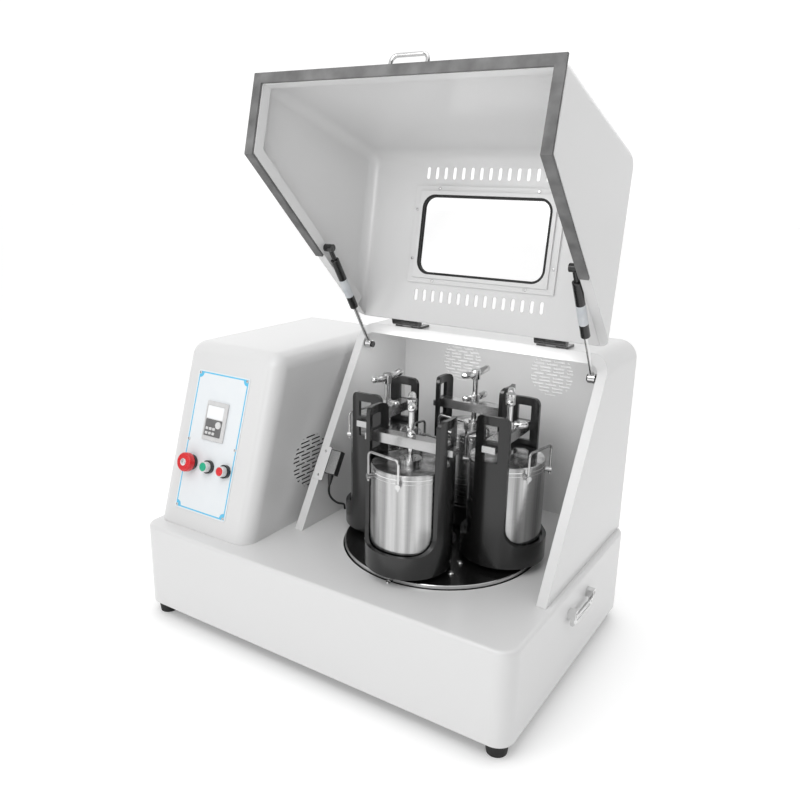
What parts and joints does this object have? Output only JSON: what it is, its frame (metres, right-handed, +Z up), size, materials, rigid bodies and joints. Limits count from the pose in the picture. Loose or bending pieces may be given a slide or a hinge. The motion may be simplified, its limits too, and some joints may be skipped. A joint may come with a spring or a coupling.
{
  "type": "planetary ball mill",
  "caption": "Bench planetary ball mill with clamped grinding jars on a turntable under a hood, a lifting windowed lid and a side control box with a sloped panel.",
  "frame": {"origin": "on the floor under the middle of the base", "axes": "+X to the right, +Y to the back, +Z up"},
  "size_m": [0.932, 0.605, 1.1688],
  "materials": {
    "white_paint": "gloss powder coat",
    "frame_paint": "satin paint",
    "black_paint": "semi-gloss paint",
    "foot_rubber": "matt",
    "cast_housing": "machined",
    "motor_paint": "satin paint",
    "machined_steel": "turned",
    "panel_film": "satin printed film",
    "controller_plastic": "satin",
    "collar_plastic": "gloss",
    "red_plastic": "gloss",
    "green_plastic": "gloss",
    "switch_plastic": "satin",
    "cable_rubber": "satin",
    "belt_rubber": "matt",
    "foam_gasket": "matt",
    "seal_rubber": "satin",
    "clear_pane": "clear",
    "bright_chrome": "polished",
    "jar_steel": "turned and brushed",
    "bar_steel": "satin"
  },
  "bodies": {
    "chassis": {"base_shell": "white_paint", "base_frame": "frame_paint", "rubber_feet": "foot_rubber", "bearing_housing": "cast_housing", "motor": "motor_paint", "control_box": "white_paint", "control_label": "panel_film", "speed_controller": "controller_plastic", "button_collars": "collar_plastic", "hood_housing": "white_paint", "hood_fittings": "black_paint", "interlock_switch": "switch_plastic", "interlock_cable": "cable_rubber", "carry_handle_lugs": "bright_chrome", "drive_belt": "belt_rubber"},
    "motor_rotor": {"motor_pulley": "machined_steel"},
    "turntable": {"turntable_disc": "black_paint", "main_shaft": "machined_steel", "pot_belts": "belt_rubber"},
    "lid": {"lid_shell": "white_paint", "lid_gasket": "foam_gasket", "window_frame": "white_paint", "window_seal": "seal_rubber", "window_pane": "clear_pane", "lid_handle": "bright_chrome", "lid_fittings": "black_paint"},
    "gas_rod_left": {"gas_rod_left": "bright_chrome"},
    "gas_rod_right": {"gas_rod_right": "bright_chrome"},
    "gas_tube_left": {"gas_tube_left": "black_paint"},
    "gas_tube_right": {"gas_tube_right": "black_paint"},
    "emergency_stop": {"emergency_stop": "red_plastic"},
    "start_button": {"start_button": "green_plastic"},
    "stop_button": {"stop_button": "red_plastic"},
    "carry_bail_left": {"carry_bail_left": "bright_chrome"},
    "carry_bail_right": {"carry_bail_right": "bright_chrome"},
    "pot_1": {"pot_seat_1": "black_paint", "jar_1": "jar_steel", "jar_lid_1": "jar_steel"},
    "clamp_bar_1": {"clamp_bar_1": "bar_steel"},
    "clamp_screw_1": {"clamp_screw_1": "bright_chrome"},
    "lock_nut_1": {"lock_nut_1": "bright_chrome"},
    "pot_2": {"pot_seat_2": "black_paint", "jar_2": "jar_steel", "jar_lid_2": "jar_steel"},
    "clamp_bar_2": {"clamp_bar_2": "bar_steel"},
    "clamp_screw_2": {"clamp_screw_2": "bright_chrome"},
    "lock_nut_2": {"lock_nut_2": "bright_chrome"},
    "pot_3": {"pot_seat_3": "black_paint", "jar_3": "jar_steel", "jar_lid_3": "jar_steel"},
    "clamp_bar_3": {"clamp_bar_3": "bar_steel"},
    "clamp_screw_3": {"clamp_screw_3": "bright_chrome"},
    "lock_nut_3": {"lock_nut_3": "bright_chrome"},
    "pot_4": {"pot_seat_4": "black_paint", "jar_4": "jar_steel", "jar_lid_4": "jar_steel"},
    "clamp_bar_4": {"clamp_bar_4": "bar_steel"},
    "clamp_screw_4": {"clamp_screw_4": "bright_chrome"},
    "lock_nut_4": {"lock_nut_4": "bright_chrome"}
  },
  "joints": [
    {"name": "lid_hinge", "type": "hinge", "parent": "chassis", "child": "lid", "pos_m": [0.141, 0.1169, 0.659], "axis": [1, 0, 0], "range_deg": [0, 103.5]},
    {"name": "turntable_spin", "type": "hinge", "parent": "chassis", "child": "turntable", "pos_m": [0.141, 0, 0.2], "axis": [0, 0, 1], "continuous": true},
    {"name": "motor_spin", "type": "hinge", "parent": "chassis", "child": "motor_rotor", "pos_m": [-0.3, 0, 0.06], "axis": [0, 0, 1], "continuous": true},
    {"name": "gas_rod_left_swing", "type": "hinge", "parent": "chassis", "child": "gas_rod_left", "pos_m": [-0.124, 0.108, 0.599], "axis": [1, 0, 0], "range_deg": [0, 105.36]},
    {"name": "gas_tube_left_slide", "type": "slide", "parent": "gas_rod_left", "child": "gas_tube_left", "axis": [0, -0.5481, 0.8364], "range_m": [-0.09503, 0]},
    {"name": "gas_rod_right_swing", "type": "hinge", "parent": "chassis", "child": "gas_rod_right", "pos_m": [0.406, 0.108, 0.599], "axis": [1, 0, 0], "range_deg": [0, 105.36]},
    {"name": "gas_tube_right_slide", "type": "slide", "parent": "gas_rod_right", "child": "gas_tube_right", "axis": [0, -0.5481, 0.8364], "range_m": [-0.09503, 0]},
    {"name": "emergency_stop_push", "type": "slide", "parent": "chassis", "child": "emergency_stop", "axis": [0, 0.9527, -0.304], "range_m": [0, 0.005]},
    {"name": "start_button_push", "type": "slide", "parent": "chassis", "child": "start_button", "axis": [0, 0.9527, -0.304], "range_m": [0, 0.004], "stiffness_N_per_m": 500, "springref_m": -0.002},
    {"name": "stop_button_push", "type": "slide", "parent": "chassis", "child": "stop_button", "axis": [0, 0.9527, -0.304], "range_m": [0, 0.004], "stiffness_N_per_m": 500, "springref_m": -0.002},
    {"name": "carry_bail_left_swing", "type": "hinge", "parent": "chassis", "child": "carry_bail_left", "pos_m": [-0.4595, 0.01, 0.1695], "axis": [0, 1, 0], "range_deg": [0, 90]},
    {"name": "carry_bail_right_swing", "type": "hinge", "parent": "chassis", "child": "carry_bail_right", "pos_m": [0.4595, 0.01, 0.1695], "axis": [0, -1, 0], "range_deg": [0, 90]},
    {"name": "pot_1_spin", "type": "hinge", "parent": "turntable", "child": "pot_1", "pos_m": [0.14592, -0.14091, 0.25], "axis": [0, 0, 1], "continuous": true},
    {"name": "clamp_screw_1_turn", "type": "hinge", "parent": "pot_1", "child": "clamp_screw_1", "pos_m": [0.14592, -0.14091, 0.56], "axis": [0, 0, 1], "range_deg": [0, 1020.5]},
    {"name": "clamp_bar_1_slide", "type": "slide", "parent": "pot_1", "child": "clamp_bar_1", "axis": [0, 0, 1], "range_m": [-0.0085, 0]},
    {"name": "lock_nut_1_turn", "type": "hinge", "parent": "clamp_bar_1", "child": "lock_nut_1", "pos_m": [0.14592, -0.14091, 0.505], "axis": [0, 0, 1], "continuous": true},
    {"name": "pot_2_spin", "type": "hinge", "parent": "turntable", "child": "pot_2", "pos_m": [0.28191, 0.00492, 0.25], "axis": [0, 0, 1], "continuous": true},
    {"name": "clamp_screw_2_turn", "type": "hinge", "parent": "pot_2", "child": "clamp_screw_2", "pos_m": [0.28191, 0.00492, 0.56], "axis": [0, 0, 1], "range_deg": [0, 1020.5]},
    {"name": "clamp_bar_2_slide", "type": "slide", "parent": "pot_2", "child": "clamp_bar_2", "axis": [0, 0, 1], "range_m": [-0.0085, 0]},
    {"name": "lock_nut_2_turn", "type": "hinge", "parent": "clamp_bar_2", "child": "lock_nut_2", "pos_m": [0.28191, 0.00492, 0.505], "axis": [0, 0, 1], "continuous": true},
    {"name": "pot_3_spin", "type": "hinge", "parent": "turntable", "child": "pot_3", "pos_m": [0.13608, 0.14091, 0.25], "axis": [0, 0, 1], "continuous": true},
    {"name": "clamp_screw_3_turn", "type": "hinge", "parent": "pot_3", "child": "clamp_screw_3", "pos_m": [0.13608, 0.14091, 0.56], "axis": [0, 0, 1], "range_deg": [0, 1020.5]},
    {"name": "clamp_bar_3_slide", "type": "slide", "parent": "pot_3", "child": "clamp_bar_3", "axis": [0, 0, 1], "range_m": [-0.0085, 0]},
    {"name": "lock_nut_3_turn", "type": "hinge", "parent": "clamp_bar_3", "child": "lock_nut_3", "pos_m": [0.13608, 0.14091, 0.505], "axis": [0, 0, 1], "continuous": true},
    {"name": "pot_4_spin", "type": "hinge", "parent": "turntable", "child": "pot_4", "pos_m": [0.00009, -0.00492, 0.25], "axis": [0, 0, 1], "continuous": true},
    {"name": "clamp_screw_4_turn", "type": "hinge", "parent": "pot_4", "child": "clamp_screw_4", "pos_m": [0.00009, -0.00492, 0.56], "axis": [0, 0, 1], "range_deg": [0, 1020.5]},
    {"name": "clamp_bar_4_slide", "type": "slide", "parent": "pot_4", "child": "clamp_bar_4", "axis": [0, 0, 1], "range_m": [-0.0085, 0]},
    {"name": "lock_nut_4_turn", "type": "hinge", "parent": "clamp_bar_4", "child": "lock_nut_4", "pos_m": [0.00009, -0.00492, 0.505], "axis": [0, 0, 1], "continuous": true}
  ],
  "couplings": [
    {"joint": "motor_spin", "follows": "turntable_spin", "ratio": 2.5},
    {"joint": "gas_rod_left_swing", "follows": "lid_hinge", "ratio": 1.0179},
    {"joint": "gas_tube_left_slide", "follows": "lid_hinge", "m_per_rad": -0.052594},
    {"joint": "gas_rod_right_swing", "follows": "lid_hinge", "ratio": 1.0179},
    {"joint": "gas_tube_right_slide", "follows": "lid_hinge", "m_per_rad": -0.052594},
    {"joint": "pot_1_spin", "follows": "turntable_spin", "ratio": -2},
    {"joint": "clamp_screw_1_turn", "follows": "clamp_bar_1_slide", "rad_per_m": -2094.4},
    {"joint": "pot_2_spin", "follows": "turntable_spin", "ratio": -2},
    {"joint": "clamp_screw_2_turn", "follows": "clamp_bar_2_slide", "rad_per_m": -2094.4},
    {"joint": "pot_3_spin", "follows": "turntable_spin", "ratio": -2},
    {"joint": "clamp_screw_3_turn", "follows": "clamp_bar_3_slide", "rad_per_m": -2094.4},
    {"joint": "pot_4_spin", "follows": "turntable_spin", "ratio": -2},
    {"joint": "clamp_screw_4_turn", "follows": "clamp_bar_4_slide", "rad_per_m": -2094.4}
  ]
}
